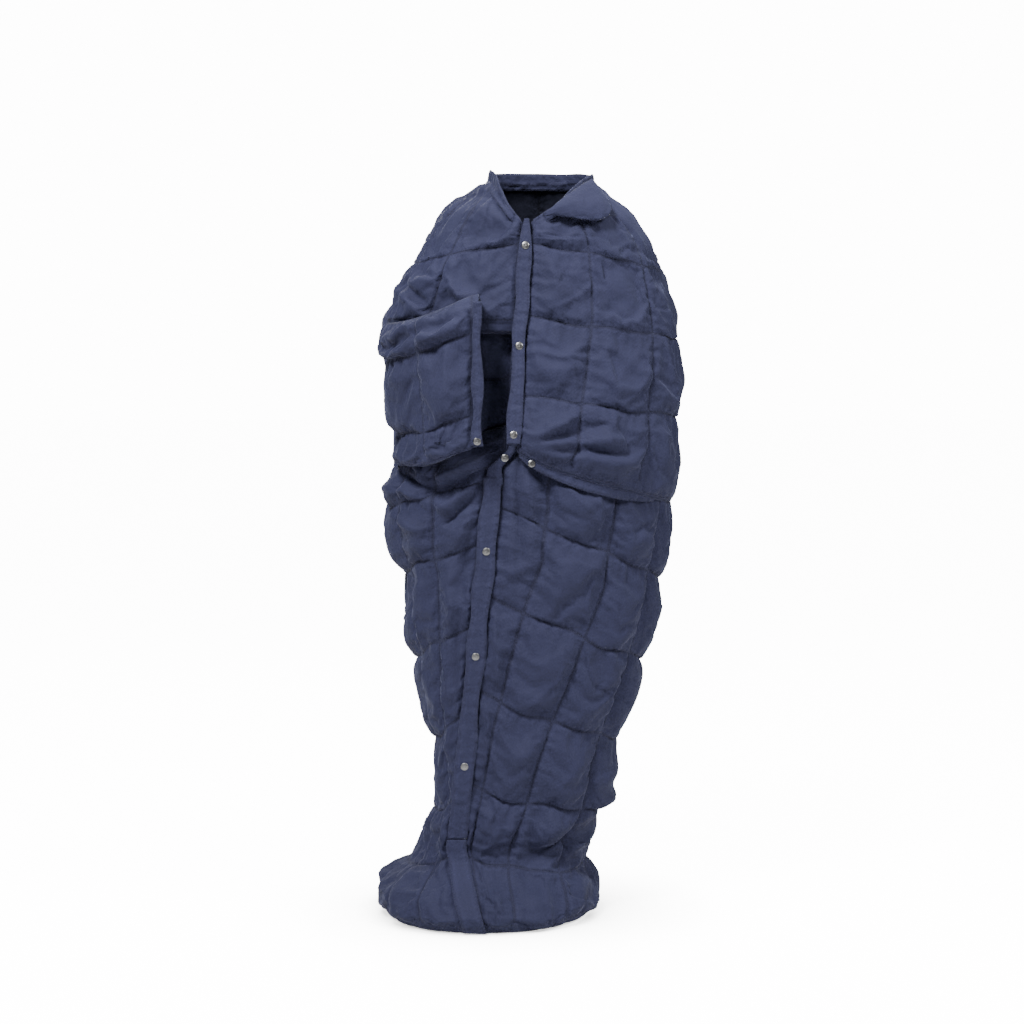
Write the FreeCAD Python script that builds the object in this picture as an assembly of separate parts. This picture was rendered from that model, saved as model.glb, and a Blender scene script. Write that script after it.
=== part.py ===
"""A wearable quilted blanket with press studs, in the shape it takes on its wearer.

The blanket is a grid of down-filled chambers between a shell fabric and a lining. It wraps round the
wearer as a tube that is closed down the front, and its front edges are drawn aside in two places,
where the arms come out. +Z is up, -Y is the front, and the origin is on the floor under the middle
of the blanket. Millimetres.
"""
import FreeCAD
import Part

import math
import os

# ---------------------------------------------------------------- driving dimensions
DEPTH_SHIFT = 42.0  # moves the whole blanket back, so that the origin is under its middle
FABRIC = 1.0  # shell fabric and lining
DOWN = 21.0  # a chamber between them
LAYER_GAP = 0.6  # between the fabrics and the down
QUILT = 2 * (FABRIC + LAYER_GAP) + DOWN
SEAM_GAP = 1.6  # stitched line between two chambers
EDGE_GAP = 1.5  # between a panel and what is sewn to it
NECK_GAP = 4.0  # and between a panel's top and the neck binding, which is curved
NECK_DEPTH = 6.0  # of the neck binding, under the shell
SQUARENESS = 0.85  # exponent of the tube's plan outline: 1 is an ellipse
STRIP = 3.0  # thickness of a placket or a binding
CHEST_STRIP_HALF = 18.0  # half the width of the chest placket
SKIRT_STRIP_HALF = 22.0
SAMPLES = 6  # sample lines from one quilt seam to the next
FLOOR_CLEARANCE = 4.5  # the panels' lower edges above the floor hem's underside

# The tube's outline by height: left, right, middle depth and back.
BODY = [
    (0, -296, 128, -38, 150),
    (22, -307, 141, -36, 158),
    (54, -302, 139, -30, 156),
    (87, -270, 125, -20, 144),
    (112, -238, 115, -15, 138),
    (149, -213, 121, -10, 133),
    (211, -197, 152, -8, 136),
    (273, -184, 166, -6, 145),
    (376, -207, 192, -4, 160),
    (457, -226, 220, -3, 173),
    (539, -242, 242, -2, 184),
    (672, -257, 268, 0, 198),
    (743, -284, 279, 0, 203),
    (824, -291, 293, 0, 206),
    (925, -274, 301, 0, 205),
    (1026, -279, 304, 0, 205),
    (1146, -301, 303, 1, 206),
    (1186, -297, 298, 3, 205),
    (1226, -273, 287, 5, 203),
    (1306, -239, 266, 10, 194),
    (1346, -212, 250, 14, 184),
    (1386, -187, 220, 18, 168),
    (1426, -151, 178, 22, 146),
    (1470, -92, 136, 26, 116),
]
# How far forward the front reaches by height: the skirt, the cape over it, and the layer in the sleeve.
SKIRT_FRONT = [
    (0, -280), (25, -288), (58, -270), (95, -226), (125, -196), (150, -189.7), (170, -190),
    (880, -197), (900, -197.2), (965, -180),
]
CAPE_FRONT = [
    (820, -228), (900, -227), (938, -221), (958, -217.8), (1380, -150), (1400, -146.8),
    (1426, -128), (1470, -84),
]
INNER_FRONT = [(900, -150.2), (940, -148), (1190, -134), (1240, -131.2)]
# Where the two front edges meet, across the front, by height.
CLOSURE = [
    (0, -106), (60, -124), (110, -138), (150, -145.6), (170, -143.5), (880, -71.3), (896, -69.6),
    (921, -47), (938, -34.4), (958, -33.2), (1380, -6.8), (1400, -5.6), (1480, -2),
]
# Quilt seams by height, from the top down: at the front edge and at the side of each panel.
SEAM_RISE = 1.6  # how fast a seam leaves its front height on the way to the side
RIGHT_CAPE_SEAMS = ([1380, 1335, 1194, 1040, 938], [1470, 1287, 1146, 995, 825], 3.2)
LEFT_CAPE_SEAMS = ([1380, 1335, 1186], [1470, 1300, 1192], 4.0)
LEFT_INNER_SEAMS = ([1214, 1070, 938], [1190, 1056, 912], SEAM_RISE)
RIGHT_SKIRT_SEAMS = ([936, 817, 652, 462, 278, 140, FLOOR_CLEARANCE],
                     [816, 666, 498, 345, 203, 100, FLOOR_CLEARANCE], 2.3)
LEFT_SKIRT_SEAMS = ([960, 870, 757, 590, 410, 255, 140, FLOOR_CLEARANCE],
                    [888, 812, 676, 510, 345, 203, 100, FLOOR_CLEARANCE], 2.8)
BACK_SEAMS = [1470, 1300, 1146, 995, 825, 666, 498, 345, 203, 100, FLOOR_CLEARANCE]
RIGHT_CAPE_COLUMNS = [0.0, 0.25, 0.60, 1.0]
LEFT_CAPE_COLUMNS = [0.0, 0.43, 0.80, 1.0]
SLEEVE_COLUMNS = [0.0, 0.38, 1.0]
RIGHT_SKIRT_COLUMNS = [0.0, 0.14, 0.42, 0.72, 1.0]
LEFT_SKIRT_COLUMNS = [0.0, 0.31, 0.66, 1.0]
CAPE_DRIFT, SKIRT_DRIFT = 0.08, 0.25  # how fast the upright seams run towards the closure, per row
BACK_COLUMNS = [k / 6 for k in range(7)]
INNER_SIDE_ANGLE = 47.0  # where the layer in the sleeve ends, round the tube

# The left sleeve hangs from the wearer's bent forearm, from its mouth near the front to the elbow.
SLEEVE_MOUTH = -114.0
SLEEVE_TOP = (1240.0, 1182.0)  # heights at the mouth and at the elbow
SLEEVE_RISE = 3.0
SLEEVE_BOTTOM = (940.0, 902.0)
SLEEVE_ROWS = [1.0, 0.73, 0.21, 0.0]  # quilt seams, as shares of the sleeve's drop
SLEEVE_REACH = [(0.0, 260), (0.76, 260), (0.80, 260),
                (0.90, 250), (0.96, 234), (1.0, 214)]
CUFF_SHARES = (0.01, 0.79)  # the part of the mouth that the cuff band runs along
CUFF_WIDTH = 20.0
LAPEL_SPANS = ((0.04, 0.56), (0.03, 0.52))  # of the right cape, across and down

# Press studs: heights of those down the front, and the sizes of one.
CHEST_SNAPS = [1330, 1135, 964]
CLOSED_CHEST_SNAPS = 1  # the first of them; the others are open
SKIRT_SNAPS = [736, 530, 313]
CHEST_STRIP_SPAN = (946, 1376)
CHEST_UNDER_SPAN = (1192, 1376)
INNER_UNDER_SPAN = (940, 1210)
SKIRT_STRIP_SPAN = (170, 880)
WAIST_SPAN = (928, 883)  # the curved closure above the skirt placket, from the top down
FOOT_SPAN = (168, FLOOR_CLEARANCE)  # and the one below it
WAIST_SNAP = 918
WAIST_STRIP_HALF = 19.0
WAIST_SEAT = 1.2  # the cap stands off the strip by this, because the strip is curved
CAP_R = 7.6
CAP_H = 2.3
DIMPLE_R = 2.6
SOCKET_R = 6.6
SOCKET_H = 3.1
CAVITY_R = 4.6
CAVITY_H = 2.6
STUD_R = 3.3
STUD_NECK_R = 2.8
STUD_H = 2.2
FLANGE_R = 5.9
FLANGE_H = 0.7
BARREL_R = 2.0
BARREL_HOLE_R = 2.4
SEAT_GAP = 0.25  # between a snap part and the strip that it is riveted to
UNDER_DEPTH = STRIP + 2 * SEAT_GAP + SOCKET_H + FLANGE_H + SEAT_GAP  # of the strip with the studs

V = FreeCAD.Vector


# ---------------------------------------------------------------- shape of the tube
def between(rows, height, column=1):
    """A smooth value from rows in order of height, with no overshoot between two rows."""
    if height <= rows[0][0]:
        return float(rows[0][column])
    if height >= rows[-1][0]:
        return float(rows[-1][column])
    k = 0
    while rows[k + 1][0] < height:
        k += 1

    def chord(i):
        return (rows[i + 1][column] - rows[i][column]) / (rows[i + 1][0] - rows[i][0])

    def slope(i):
        if i == 0 or i == len(rows) - 1:
            return chord(min(i, len(rows) - 2))
        before, after = chord(i - 1), chord(i)
        if before * after <= 0:
            return 0.0
        return 2 * before * after / (before + after)

    step = rows[k + 1][0] - rows[k][0]
    t = (height - rows[k][0]) / step
    return (
        rows[k][column] * (2 * t**3 - 3 * t**2 + 1)
        + slope(k) * step * (t**3 - 2 * t**2 + t)
        + rows[k + 1][column] * (3 * t**2 - 2 * t**3)
        + slope(k + 1) * step * (t**3 - t**2)
    )


def power(value):
    """A sine or cosine raised to the outline's exponent, with its sign kept."""
    return math.copysign(abs(value) ** SQUARENESS, value)


def tube(angle, height, front):
    """A point on the tube: angle 0 is the front edge, 90 the right side, 180 the back, -90 the left."""
    left, right, middle, back = (between(BODY, height, c) for c in (1, 2, 3, 4))
    sine = math.sin(math.radians(angle))
    cosine = math.cos(math.radians(angle))
    centre = between(CLOSURE, height) if cosine > 0 else (left + right) / 2
    half = right - centre if sine > 0 else centre - left
    reach = middle - between(front, height) if cosine > 0 else back - middle
    return V(centre + half * power(sine), middle - reach * power(cosine) + DEPTH_SHIFT, height)


def edge_angle(height, offset):
    """The tube's angle at a distance to the right of the closure, which is negative on the left."""
    centre = between(CLOSURE, height)
    half = between(BODY, height, 2) - centre if offset > 0 else centre - between(BODY, height, 1)
    return math.degrees(math.asin(math.copysign((abs(offset) / half) ** (1 / SQUARENESS), offset)))


def seam_height(seams, u, v):
    """Height of quilt row v, counted down from the top, at a share u of the way from front to side."""
    at_front, at_side, top_rise = seams
    k = max(0, min(int(v), len(at_front) - 2))
    ease = 1 - (1 - u) ** SEAM_RISE
    top_ease = ease if k else 1 - (1 - u) ** top_rise
    here = at_front[k] + (at_side[k] - at_front[k]) * top_ease
    below = at_front[k + 1] + (at_side[k + 1] - at_front[k + 1]) * ease
    return here + (below - here) * (v - k)


def front_panel(seams, front, offset, side_angle, drift=0.0):
    """A map from (u, v) to a front panel, from its free edge at u 0 to a side angle at u 1."""

    def point(u, v):
        height = seam_height(seams, u, v)
        start = edge_angle(height, offset)
        across = u ** (1 + drift * max(0.0, v - 1.4))
        return tube(start + across * (side_angle - start), height, front)

    return point


def back_panel(u, v):
    """The back, from the right side at u 0 to the left side at u 1."""
    return tube(90 + 180 * u, seam_height((BACK_SEAMS, BACK_SEAMS, SEAM_RISE), 0, v), SKIRT_FRONT)


def sleeve(u, v):
    """The left sleeve, from its mouth at u 0 to the elbow at u 1, and down from the forearm with v."""
    k = max(0, min(int(v), len(SLEEVE_ROWS) - 2))
    share = SLEEVE_ROWS[k] + (SLEEVE_ROWS[k + 1] - SLEEVE_ROWS[k]) * (v - k)
    mouth = SLEEVE_BOTTOM[0] + (SLEEVE_TOP[0] - SLEEVE_BOTTOM[0]) * share
    elbow = SLEEVE_BOTTOM[1] + (SLEEVE_TOP[1] - SLEEVE_BOTTOM[1]) * share
    height = mouth + (elbow - mouth) * (1 - (1 - u) ** SLEEVE_RISE)
    width = SLEEVE_MOUTH - between(BODY, elbow, 1)
    angle = math.radians(90 * u)
    x = SLEEVE_MOUTH - width * power(math.sin(angle))
    y = -between(SLEEVE_REACH, share) * power(math.cos(angle))
    return V(x, y + DEPTH_SHIFT, height)


CHEST_EDGE = CHEST_STRIP_HALF + EDGE_GAP
SKIRT_EDGE = SKIRT_STRIP_HALF + EDGE_GAP
right_cape = front_panel(RIGHT_CAPE_SEAMS, CAPE_FRONT, CHEST_EDGE, 90, CAPE_DRIFT)
left_cape = front_panel(LEFT_CAPE_SEAMS, CAPE_FRONT, -CHEST_EDGE, -90)
left_inner = front_panel(LEFT_INNER_SEAMS, INNER_FRONT, -CHEST_EDGE, -INNER_SIDE_ANGLE)
right_skirt = front_panel(RIGHT_SKIRT_SEAMS, SKIRT_FRONT, SKIRT_EDGE, 90, SKIRT_DRIFT)
left_skirt = front_panel(LEFT_SKIRT_SEAMS, SKIRT_FRONT, -SKIRT_EDGE, -90)

# Each panel: its map, the side that faces out, its columns and its number of rows.
PANELS = {
    "right_cape": (right_cape, 1, RIGHT_CAPE_COLUMNS, len(RIGHT_CAPE_SEAMS[0]) - 1),
    "left_cape": (left_cape, -1, LEFT_CAPE_COLUMNS, len(LEFT_CAPE_SEAMS[0]) - 1),
    "inner_layer": (left_inner, -1, [0.0, 0.5, 1.0], len(LEFT_INNER_SEAMS[0]) - 1),
    "left_sleeve": (sleeve, -1, SLEEVE_COLUMNS, len(SLEEVE_ROWS) - 1),
    "right_skirt": (right_skirt, 1, RIGHT_SKIRT_COLUMNS, len(RIGHT_SKIRT_SEAMS[0]) - 1),
    "left_skirt": (left_skirt, -1, LEFT_SKIRT_COLUMNS, len(LEFT_SKIRT_SEAMS[0]) - 1),
    "back": (back_panel, 1, BACK_COLUMNS, len(BACK_SEAMS) - 1),
}


# ---------------------------------------------------------------- solids
def outward(point, facing, u, v):
    """The unit normal of a panel's map, on the side that faces out."""
    step = 0.004
    across = point(min(u + step, 1), v) - point(max(u - step, 0), v)
    down = point(u, v + step) - point(u, v - step)
    normal = down.cross(across) * facing
    return normal.normalize()


def subdivided(lines, parts, trims):
    """Grid lines with some parts between each two seams, drawn in by the trims at both ends."""
    ends = [lines[0] + trims[0]] + list(lines[1:-1]) + [lines[-1] - trims[1]]
    grid = []
    for low, high in zip(ends, ends[1:]):
        grid += [low + (high - low) * k / parts for k in range(parts)]
    return grid + ends[-1:]


class Grid:
    """A panel's sample lines, with smooth surfaces through them at any depth under its outer face."""

    def __init__(self, point, facing, u_lines, v_lines):
        self.point, self.facing = point, facing
        self.u_lines, self.v_lines = u_lines, v_lines

    def surface(self, depth):
        rows = []
        for u in self.u_lines:
            normals = [outward(self.point, self.facing, u, v) for v in self.v_lines]
            rows.append([self.point(u, v) - n * depth for v, n in zip(self.v_lines, normals)])
        surface = Part.BSplineSurface()
        surface.interpolate(rows)
        return surface


def between_surfaces(near, far):
    """A solid between two surfaces that have four edges each."""
    faces = [near.toShape(), far.toShape()]
    u0, u1, v0, v1 = near.bounds()
    w0, w1, t0, t1 = far.bounds()
    for here, there in ((u0, w0), (u1, w1)):
        faces.append(Part.makeRuledSurface(near.uIso(here).toShape(), far.uIso(there).toShape()))
    for here, there in ((v0, t0), (v1, t1)):
        faces.append(Part.makeRuledSurface(near.vIso(here).toShape(), far.vIso(there).toShape()))
    shell = Part.makeShell(faces)
    shell.sewShape(1e-4)
    solid = Part.Solid(shell.Shells[0])
    if solid.Volume < 0:
        solid.reverse()
    return solid


def slab(point, facing, u_span, v_span, shallow, deep, cells=(4, 4)):
    """A solid between two depths under a map's outer face, over a span of u and of v."""
    grid = Grid(point, facing, subdivided(u_span, cells[0], (0, 0)), subdivided(v_span, cells[1], (0, 0)))
    return between_surfaces(grid.surface(shallow), grid.surface(deep))


def piece_of(surface, u_span, v_span):
    """A copy of part of a surface."""
    piece = surface.copy()
    piece.segment(*u_span, *v_span)
    return piece


def quilted_panel(point, facing, columns, rows):
    """The shell, the lining and the chambers of one panel; all follow the same sample lines."""
    width = sum((point(b, rows / 2) - point(a, rows / 2)).Length for a, b in zip(columns, columns[1:]))
    drop = (point(0.5, 0.0) - point(0.5, float(rows))).Length
    u_trim, v_trim = EDGE_GAP / 2 / width, EDGE_GAP / 2 * rows / drop
    v_seams = [float(k) for k in range(rows + 1)]
    u_lines = subdivided(columns, SAMPLES, (u_trim, u_trim))
    v_lines = subdivided(v_seams, SAMPLES, (v_trim, v_trim))
    grid = Grid(point, facing, u_lines, v_lines)
    top, bottom = FABRIC + LAYER_GAP, FABRIC + LAYER_GAP + DOWN
    down = []
    cuts = []
    for depth in (top, bottom):
        surface = grid.surface(depth)
        u_cuts = surface.getUKnots()[::SAMPLES]  # a surface has a knot at each sample line
        v_cuts = surface.getVKnots()[::SAMPLES]
        u_gap = SEAM_GAP / 2 / width * (u_cuts[-1] - u_cuts[0])
        v_gap = SEAM_GAP / 2 / drop * (v_cuts[-1] - v_cuts[0])
        cuts.append((surface, u_cuts, v_cuts, u_gap, v_gap))
    for c in range(len(columns) - 1):
        for k in range(rows):
            faces = [
                piece_of(surface, (us[c] + du, us[c + 1] - du), (vs[k] + dv, vs[k + 1] - dv))
                for surface, us, vs, du, dv in cuts
            ]
            down.append(between_surfaces(*faces))
    return (
        between_surfaces(grid.surface(0), grid.surface(FABRIC)),
        between_surfaces(grid.surface(QUILT - FABRIC), grid.surface(QUILT)),
        group(down),
    )


def edge_strips(point, facing, columns, v_edge, away, gap, deep):
    """Binding at a gap past a panel's edge, one solid a column; away is 1 past a lower edge, else -1."""
    solids = []
    for c in range(len(columns) - 1):
        shares = [columns[c] + 0.004 + (columns[c + 1] - columns[c] - 0.008) * k / SAMPLES
                  for k in range(SAMPLES + 1)]
        faces = []
        for depth in (0, deep):
            rows = []
            for u in shares:
                edge = point(u, v_edge)
                step = (point(u, v_edge + 0.01) - point(u, v_edge - 0.01)).normalize() * away
                inward = outward(point, facing, u, v_edge) * -depth
                rows.append([edge + inward + step * reach for reach in
                             (gap, gap + STRIP / 2, gap + STRIP)])
            surface = Part.BSplineSurface()
            surface.interpolate(rows)
            faces.append(surface)
        solids.append(between_surfaces(*faces))
    return solids


def floor_hem():
    """The hem that the blanket stands on: a flat strip under each column of the lowest row."""
    solids = []
    for name in ("right_skirt", "left_skirt", "back"):
        point, facing, columns, rows = PANELS[name]
        for c in range(len(columns) - 1):
            outer = []
            inner = []
            for i in range(7):
                u = columns[c] + 0.003 + (columns[c + 1] - columns[c] - 0.006) * i / 6
                edge = point(u, rows)
                normal = outward(point, facing, u, rows)
                normal.z = 0
                normal.normalize()
                outer.append(V(edge.x, edge.y, 0))
                inner.append(V(edge.x, edge.y, 0) - normal * QUILT)
            curves = []
            for points in (outer, inner):
                curve = Part.BSplineCurve()
                curve.interpolate(points)
                curves.append(curve.toShape())
            ends = [Part.LineSegment(outer[k], inner[k]).toShape() for k in (0, -1)]
            wire = Part.Wire(Part.__sortEdges__(curves + ends))
            solids.append(Part.Face(wire).extrude(V(0, 0, STRIP)))
    return solids


# ---------------------------------------------------------------- closures
class Closure:
    """A straight stretch where the front edges meet, with places measured along it and through it."""

    def __init__(self, front, low, high):
        self.start = tube(0, low, front)
        self.end = tube(0, high, front)
        self.along = (self.end - self.start).normalize()
        self.out = V(1, 0, 0).cross(self.along).normalize()

    def at(self, height, across=0.0, depth=0.0):
        share = (height - self.start.z) / (self.end.z - self.start.z)
        middle = self.start + (self.end - self.start) * share
        return middle + V(across, 0, 0) - self.out * depth

    def strip(self, low, high, half, depth, snaps):
        """A band along the closure at a depth, with a hole for each press stud."""
        wires = []
        for height in (low, high):
            corners = [
                self.at(height, -half, depth), self.at(height, half, depth),
                self.at(height, half, depth + STRIP), self.at(height, -half, depth + STRIP),
            ]
            wires.append(Part.makePolygon(corners + corners[:1]))
        band = Part.makeLoft(wires, True, True)
        for height in snaps:
            hole = Part.makeCylinder(BARREL_HOLE_R, 3 * STRIP, self.at(height, 0, depth - STRIP), -self.out)
            band = band.cut(hole)
        return band.Solids[0]


def turned(profile, place, out):
    """A round part from (radius, height) points, standing on a place and pointing out."""
    wire = Part.makePolygon([V(r, 0, h) for r, h in profile + profile[:1]])
    solid = Part.Face(wire).revolve(V(0, 0, 0), V(0, 0, 1), 360)
    solid.Placement = FreeCAD.Placement(place, FreeCAD.Rotation(V(0, 0, 1), out))
    return solid


def snap_cap(place, out, barrel=STRIP + SEAT_GAP - 0.1):
    """A domed cap with a dimple in its middle, and the barrel that is riveted through the fabric."""
    steps = 6
    dome = []
    for k in range(steps + 1):
        angle = math.pi / 2 * k / steps
        radius = DIMPLE_R + (CAP_R - DIMPLE_R) * math.cos(angle)
        dome.append((radius, SEAT_GAP + 0.5 + (CAP_H - 0.5) * math.sin(angle)))
    profile = [(0, -barrel), (BARREL_R, -barrel), (BARREL_R, SEAT_GAP), (CAP_R, SEAT_GAP)] + dome
    profile += [(DIMPLE_R - 0.6, SEAT_GAP + CAP_H - 0.5), (0, SEAT_GAP + CAP_H - 0.7)]
    return turned(profile, place, out)


def snap_socket(place, out):
    """The ring behind a cap, open towards the stud; its place is on the strip's back."""
    top = -SEAT_GAP
    rim = top - SOCKET_H
    roof = rim + CAVITY_H
    profile = [(0, top), (SOCKET_R, top), (SOCKET_R, rim), (CAVITY_R, rim), (CAVITY_R, roof), (0, roof)]
    return turned(profile, place, out)


def snap_stud(place, out):
    """The stud that presses into a socket; its place is on the face of the strip under it."""
    base = SEAT_GAP
    neck = base + FLANGE_H
    head = neck + STUD_H
    profile = [(0, base), (FLANGE_R, base), (FLANGE_R, neck), (STUD_NECK_R, neck),
               (STUD_NECK_R, neck + 0.7), (STUD_R, head - 0.7), (STUD_R - 0.6, head), (0, head)]
    return turned(profile, place, out)


def snap_post(place, out):
    """The flanged rivet behind a stud's strip; its place is on the face of that strip."""
    back = -STRIP - SEAT_GAP
    profile = [(0, back - FLANGE_H), (FLANGE_R, back - FLANGE_H), (FLANGE_R, back), (BARREL_R, back),
               (BARREL_R, SEAT_GAP - 0.1), (0, SEAT_GAP - 0.1)]
    return turned(profile, place, out)


# ---------------------------------------------------------------- assembly
def group(solids):
    """Several solids in one part."""
    return solids[0] if len(solids) == 1 else Part.makeCompound(solids)


def quilted_panels():
    """The shell, the lining and the chambers of each panel."""
    parts = {}
    for name, panel in PANELS.items():
        for layer, solid in zip(("shell", "lining", "down"), quilted_panel(*panel)):
            parts[name + "_" + layer] = solid
    return parts


def bindings():
    """The strips that finish the panels' free edges."""
    parts = {"floor_hem": group(floor_hem())}
    neck = []
    for name in ("right_cape", "left_cape", "back"):
        point, facing, columns, _ = PANELS[name]
        neck += edge_strips(point, facing, columns, 0, -1, NECK_GAP, NECK_DEPTH)
    parts["neck_binding"] = group(neck)
    for name in ("right_cape", "left_sleeve"):
        point, facing, columns, rows = PANELS[name]
        parts[name + "_hem"] = group(edge_strips(point, facing, columns, rows, 1, EDGE_GAP, QUILT))
    return parts


def chest_closure():
    """The chest placket with its caps and sockets, and the strips with the studs behind it."""
    line = Closure(CAPE_FRONT, 938, 1380)
    inside = Closure(INNER_FRONT, 940, 1210)
    closed = CHEST_SNAPS[:CLOSED_CHEST_SNAPS]
    opened = CHEST_SNAPS[CLOSED_CHEST_SNAPS:]
    under = [(line.at(h, 0, UNDER_DEPTH), line.out) for h in closed]
    under += [(inside.at(h), inside.out) for h in opened]
    return {
        "chest_placket": line.strip(*CHEST_STRIP_SPAN, CHEST_STRIP_HALF, 0, CHEST_SNAPS),
        "chest_under_strip": line.strip(*CHEST_UNDER_SPAN, CHEST_STRIP_HALF - 1, UNDER_DEPTH, closed),
        "inner_under_strip": inside.strip(*INNER_UNDER_SPAN, CHEST_STRIP_HALF, 0, opened),
        "chest_snap_caps": group([snap_cap(line.at(h), line.out) for h in CHEST_SNAPS]),
        "chest_snap_sockets": group([snap_socket(line.at(h, 0, STRIP), line.out) for h in CHEST_SNAPS]),
        "chest_snap_studs": group([snap_stud(*spot) for spot in under]),
        "chest_snap_posts": group([snap_post(*spot) for spot in under]),
    }


def skirt_closure():
    """The skirt placket with its caps and sockets, and the strip with the studs behind it."""
    line = Closure(SKIRT_FRONT, 170, 880)
    half = SKIRT_STRIP_HALF
    under = [(line.at(h, 0, UNDER_DEPTH), line.out) for h in SKIRT_SNAPS]
    return {
        "skirt_placket": line.strip(*SKIRT_STRIP_SPAN, half, 0, SKIRT_SNAPS),
        "skirt_under_strip": line.strip(*SKIRT_STRIP_SPAN, half - 2, UNDER_DEPTH, SKIRT_SNAPS),
        "skirt_snap_caps": group([snap_cap(line.at(h), line.out) for h in SKIRT_SNAPS]),
        "skirt_snap_sockets": group([snap_socket(line.at(h, 0, STRIP), line.out) for h in SKIRT_SNAPS]),
        "skirt_snap_studs": group([snap_stud(*spot) for spot in under]),
        "skirt_snap_posts": group([snap_post(*spot) for spot in under]),
    }


def curved_strip(span, half, depth, cells):
    """A band across the skirt's closure where it curves, at a depth under the panels' surface."""

    def point(u, v):
        height = span[0] + (span[1] - span[0]) * v
        return tube(edge_angle(height, half * (2 * u - 1)), height, SKIRT_FRONT)

    return slab(point, 1, (0, 1), (0, 1), depth, depth + STRIP, cells)


def waist_and_foot():
    """The sewn closure between the two plackets, with a press stud, and the closure at the foot."""
    place = tube(0, WAIST_SNAP, SKIRT_FRONT)
    out = V(0, -1, 0)
    waist = curved_strip(WAIST_SPAN, WAIST_STRIP_HALF, 0, (4, 3))
    waist = waist.cut(Part.makeCylinder(BARREL_HOLE_R, 3 * STRIP, place + out * STRIP, -out))
    return {
        "waist_strip": waist.Solids[0],
        "waist_snap_cap": snap_cap(place + out * WAIST_SEAT, out),
        "foot_placket": curved_strip(FOOT_SPAN, SKIRT_STRIP_HALF, 0, (4, 10)),
        "foot_under_strip": curved_strip(FOOT_SPAN, SKIRT_STRIP_HALF - 1, UNDER_DEPTH, (4, 10)),
    }


def cuff_band():
    """The turned-back band along the straight part of the sleeve's mouth, with its press stud."""
    low, high = (SLEEVE_BOTTOM[0] + (SLEEVE_TOP[0] - SLEEVE_BOTTOM[0]) * s for s in CUFF_SHARES)
    front = -260 + DEPTH_SHIFT
    corner = V(SLEEVE_MOUTH + EDGE_GAP, front, low)
    band = Part.makeBox(CUFF_WIDTH, STRIP, high - low, corner)
    place = V(SLEEVE_MOUTH + EDGE_GAP + CUFF_WIDTH / 2, front, low + CUFF_WIDTH / 2)
    out = V(0, -1, 0)
    band = band.cut(Part.makeCylinder(BARREL_HOLE_R, 2 * STRIP, place + out, -out))
    socket = place - out * STRIP
    return {
        "cuff_band": band.Solids[0],
        "cuff_snap_cap": snap_cap(place, out),
        "cuff_snap_socket": snap_socket(socket, out),
    }


def lapel():
    """The right collar, folded outwards over the cape."""
    point, facing, _, _ = PANELS["right_cape"]
    return {"right_lapel": slab(point, facing, *LAPEL_SPANS, -9.5, -3.5, (8, 5))}


def main():
    os.makedirs("parts", exist_ok=True)
    makers = (quilted_panels, bindings, chest_closure, skirt_closure, waist_and_foot, cuff_band,
              lapel)
    for maker in makers:
        for name, shape in maker().items():
            shape.exportStep(os.path.join("parts", name + ".step"))
            print(name, len(shape.Solids), round(shape.Volume / 1000, 1), shape.isValid())


main()
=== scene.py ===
import math

import bmesh
import bpy
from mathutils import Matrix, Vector, noise


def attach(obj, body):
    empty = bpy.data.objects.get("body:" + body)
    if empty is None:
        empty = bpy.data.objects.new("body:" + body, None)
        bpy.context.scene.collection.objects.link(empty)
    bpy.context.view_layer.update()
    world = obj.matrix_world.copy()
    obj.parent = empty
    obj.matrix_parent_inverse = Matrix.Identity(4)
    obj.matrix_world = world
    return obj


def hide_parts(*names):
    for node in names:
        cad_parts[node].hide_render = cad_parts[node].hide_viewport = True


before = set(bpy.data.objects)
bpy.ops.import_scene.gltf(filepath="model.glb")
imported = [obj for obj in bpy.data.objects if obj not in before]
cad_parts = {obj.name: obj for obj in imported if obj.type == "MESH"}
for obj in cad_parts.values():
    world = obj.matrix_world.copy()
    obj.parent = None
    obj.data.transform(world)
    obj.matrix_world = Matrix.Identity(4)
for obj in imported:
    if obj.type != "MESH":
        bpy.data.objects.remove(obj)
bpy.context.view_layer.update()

# A wearable quilted blanket. Its panels are maps from (u, v) to places in millimetres: u runs from the
# free front edge to the side, v counts the quilt rows from the top down. MM turns them into metres.

# ---------------------------------------------------------------- driving sizes, in mm
MM = 0.001
SINK = 11.0  # depth of the quilt seams under the blanket's outer face
CROWN = 16.0  # height of a chamber over its seams
INNER_CROWN = 7.0  # and of its lining
LEAST_LOFT = 0.6  # the lining under the outer sheet at a seam
LINING_GAP = 1.5  # the lining under the outer sheet after the sheet has been blown up
NARROW = 90.0  # a chamber that is narrower than this is lower
RIM = 16.0  # folds and creases fade out over this at a panel's edges
TUCK = 5.0  # height of the puckers along a seam
TUCK_REACH = 24.0
SEAM_FREE = 30.0  # stated distance to a seam on a flange, where nothing is stitched
FINE, COARSE = 5.0, 9.0  # spacing of the sample lines on the front and on the back
SLACK = 0.045  # extra fabric in a chamber, which wrinkles it
SIM_FRAMES = 22
CLOTH_REACH = 12.0  # how far the cloth may move from its start
TAPE_HALF = 11.0  # half the width of the tape that binds an edge
TAPE_THICK = 5.5
TAPE_SECTION = 20  # points round a tape
STITCH_INSET = 3.5  # a tape's stitches from its edge
CUFF_MIDDLE = 11.5  # of the cuff band, past the sleeve's mouth
CAP_R, CAP_H = 7.5, 2.2  # the press-stud cap of the hand opening
LAPEL_SPANS = ((0.04, 0.56), (0.03, 0.52))  # of the right cape, across and down
LAPEL_SIZE = (0.2, 0.06)  # of its cloth, in metres
WHITE = 14.0  # brightness of the studio as the camera sees it

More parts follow.
